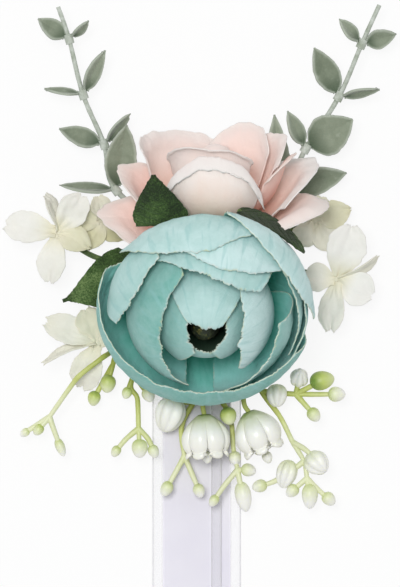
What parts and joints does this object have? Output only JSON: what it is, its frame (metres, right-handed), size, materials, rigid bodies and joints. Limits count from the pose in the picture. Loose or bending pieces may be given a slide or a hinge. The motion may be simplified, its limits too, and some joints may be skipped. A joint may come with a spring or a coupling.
{
  "type": "wrist corsage",
  "caption": "Wrist corsage: cloth ranunculus and rose with eucalyptus, white blossoms and lily-of-the-valley sprays, glued on a felt pad over a folded satin ribbon that ties round the wrist.",
  "frame": {"origin": "middle of the felt backing's face that lies on the wrist", "axes": "+Z away from the wrist, +Y from the ribbon tails towards the rose, +X to the right seen from above"},
  "size_m": [0.107, 0.2601, 0.0521],
  "materials": {
    "felt": "matted felt",
    "satin_ribbon": "satin with sheer edges",
    "aqua_silk": "dyed cloth with frayed edges",
    "flower_heart": "matte",
    "blush_silk": "dyed cloth, peach to cream",
    "stem_plastic": "moulded, matte",
    "velvet_leaf": "flocked",
    "sage_leaf": "powdery with pale rims",
    "sage_stem": "powdery",
    "white_silk": "thin translucent cloth",
    "lily_green": "moulded, soft sheen",
    "lily_white": "moulded, translucent",
    "glue": "cloudy, glossy"
  },
  "bodies": {
    "corsage": {"felt_backing": "felt", "ribbon_middle": "satin_ribbon", "glue_mound": "glue", "ranunculus_petal_01": "aqua_silk", "ranunculus_petal_02": "aqua_silk", "ranunculus_petal_03": "aqua_silk", "ranunculus_petal_04": "aqua_silk", "ranunculus_petal_05": "aqua_silk", "ranunculus_petal_06": "aqua_silk", "ranunculus_petal_07": "aqua_silk", "ranunculus_petal_08": "aqua_silk", "ranunculus_petal_09": "aqua_silk", "ranunculus_petal_10": "aqua_silk", "ranunculus_petal_11": "aqua_silk", "ranunculus_petal_12": "aqua_silk", "ranunculus_petal_13": "aqua_silk", "ranunculus_petal_14": "aqua_silk", "ranunculus_petal_15": "aqua_silk", "ranunculus_calyx": "stem_plastic", "ranunculus_core": "flower_heart", "rose_petal_01": "blush_silk", "rose_petal_02": "blush_silk", "rose_petal_03": "blush_silk", "rose_petal_04": "blush_silk", "rose_petal_05": "blush_silk", "rose_petal_06": "blush_silk", "rose_petal_07": "blush_silk", "rose_petal_08": "blush_silk", "rose_petal_09": "blush_silk", "rose_petal_10": "blush_silk", "rose_core": "blush_silk", "rose_calyx": "stem_plastic", "rose_leaf_upper": "velvet_leaf", "rose_leaf_left": "velvet_leaf", "rose_leaf_right": "velvet_leaf", "eucalyptus_left_stem": "sage_stem", "eucalyptus_left_leaves_1": "sage_leaf", "eucalyptus_left_leaves_2": "sage_leaf", "eucalyptus_left_leaves_3": "sage_leaf", "eucalyptus_left_leaves_4": "sage_leaf", "eucalyptus_right_stem": "sage_stem", "eucalyptus_right_leaves_1": "sage_leaf", "eucalyptus_right_leaves_2": "sage_leaf", "eucalyptus_right_leaves_3": "sage_leaf", "eucalyptus_right_leaves_4": "sage_leaf", "blossom_left_upper": "white_silk", "blossom_left_inner": "white_silk", "blossom_left_lower": "white_silk", "blossom_right": "white_silk", "blossom_right_upper": "white_silk", "lily_spray_left": "lily_green", "lily_spray_lower_left": "lily_green", "lily_spray_centre": "lily_green", "lily_spray_right": "lily_green", "lily_bell_front": "lily_white", "lily_bell_right": "lily_white"},
    "back_tail": {"back_tail_near": "satin_ribbon"},
    "back_tail_end": {"back_tail_far": "satin_ribbon"},
    "front_tail": {"front_tail_near": "satin_ribbon"},
    "front_tail_end": {"front_tail_far": "satin_ribbon"}
  },
  "joints": [
    {"name": "back_tail_bend", "type": "hinge", "parent": "corsage", "child": "back_tail", "pos_m": [0.0004, -0.0226, 0.0018], "axis": [1, 0, 0], "range_deg": [0, 90]},
    {"name": "back_tail_wrap", "type": "hinge", "parent": "back_tail", "child": "back_tail_end", "pos_m": [0.0004, -0.0686, 0], "axis": [1, 0, 0], "range_deg": [0, 90]},
    {"name": "front_tail_bend", "type": "hinge", "parent": "corsage", "child": "front_tail", "pos_m": [-0.0049, -0.0236, 0.00275], "axis": [1, 0, 0], "range_deg": [0, 90]},
    {"name": "front_tail_wrap", "type": "hinge", "parent": "front_tail", "child": "front_tail_end", "pos_m": [-0.0049, -0.0716, 0.00065], "axis": [1, 0, 0], "range_deg": [0, 90]}
  ],
  "couplings": [
    {"joint": "back_tail_wrap", "follows": "back_tail_bend", "ratio": 1},
    {"joint": "front_tail_bend", "follows": "back_tail_bend", "ratio": 1},
    {"joint": "front_tail_wrap", "follows": "back_tail_bend", "ratio": 1}
  ]
}
